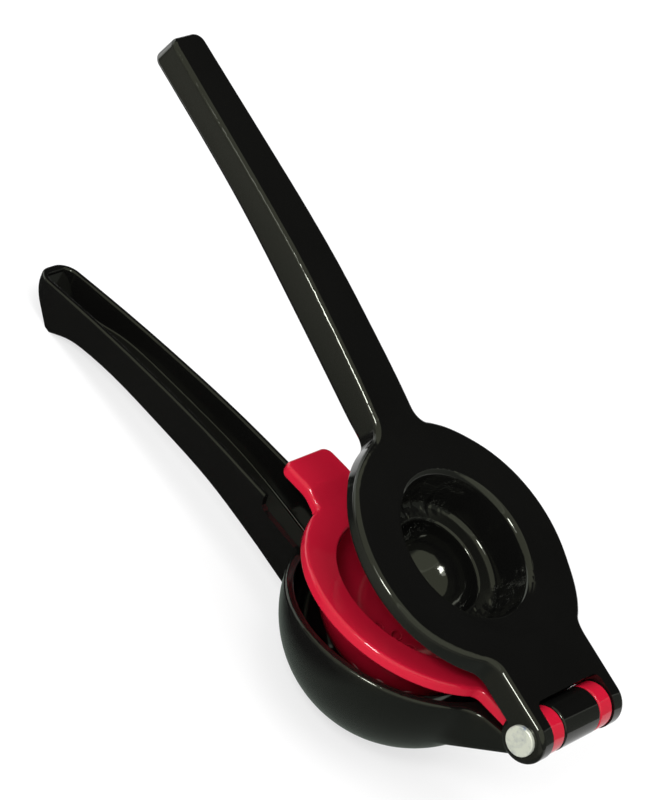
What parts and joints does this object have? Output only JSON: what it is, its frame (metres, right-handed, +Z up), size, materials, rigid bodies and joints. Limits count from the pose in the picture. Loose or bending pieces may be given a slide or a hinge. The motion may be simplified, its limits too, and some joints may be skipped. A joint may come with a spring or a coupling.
{
  "type": "hinged lemon squeezer",
  "caption": "Hand squeezer for lemons: two black enamelled cast levers and a loose red perforated cup insert, hinged on one steel pin",
  "frame": {"origin": "centre of the small flat under the bowl, on which the squeezer stands", "axes": "+Z up; +X from the handles towards the hinge, in the levers' common mid plane; +Y along the hinge pin, from its formed head to its tail cap"},
  "size_m": [0.2183, 0.0766, 0.0994],
  "materials": {
    "black_enamel": "glossy thick black enamel over cast aluminium",
    "red_enamel": "glossy thick crimson enamel over cast aluminium",
    "pin_steel": "pale plated steel, slightly mottled"
  },
  "bodies": {
    "bowl": {"bowl_lever": "black_enamel"},
    "insert": {"insert_cup": "red_enamel"},
    "press": {"press_lever": "black_enamel", "hinge_pin": "pin_steel", "pin_tail_cap": "pin_steel"}
  },
  "joints": [
    {"name": "insert_hinge", "type": "hinge", "parent": "bowl", "child": "insert", "pos_m": [0.05041, 0, 0.05482], "axis": [0, 1, 0], "range_deg": [-6.9, 72.8]},
    {"name": "press_hinge", "type": "hinge", "parent": "insert", "child": "press", "pos_m": [0.05041, 0, 0.05482], "axis": [0, 1, 0], "range_deg": [-13.4, 73.8]}
  ]
}
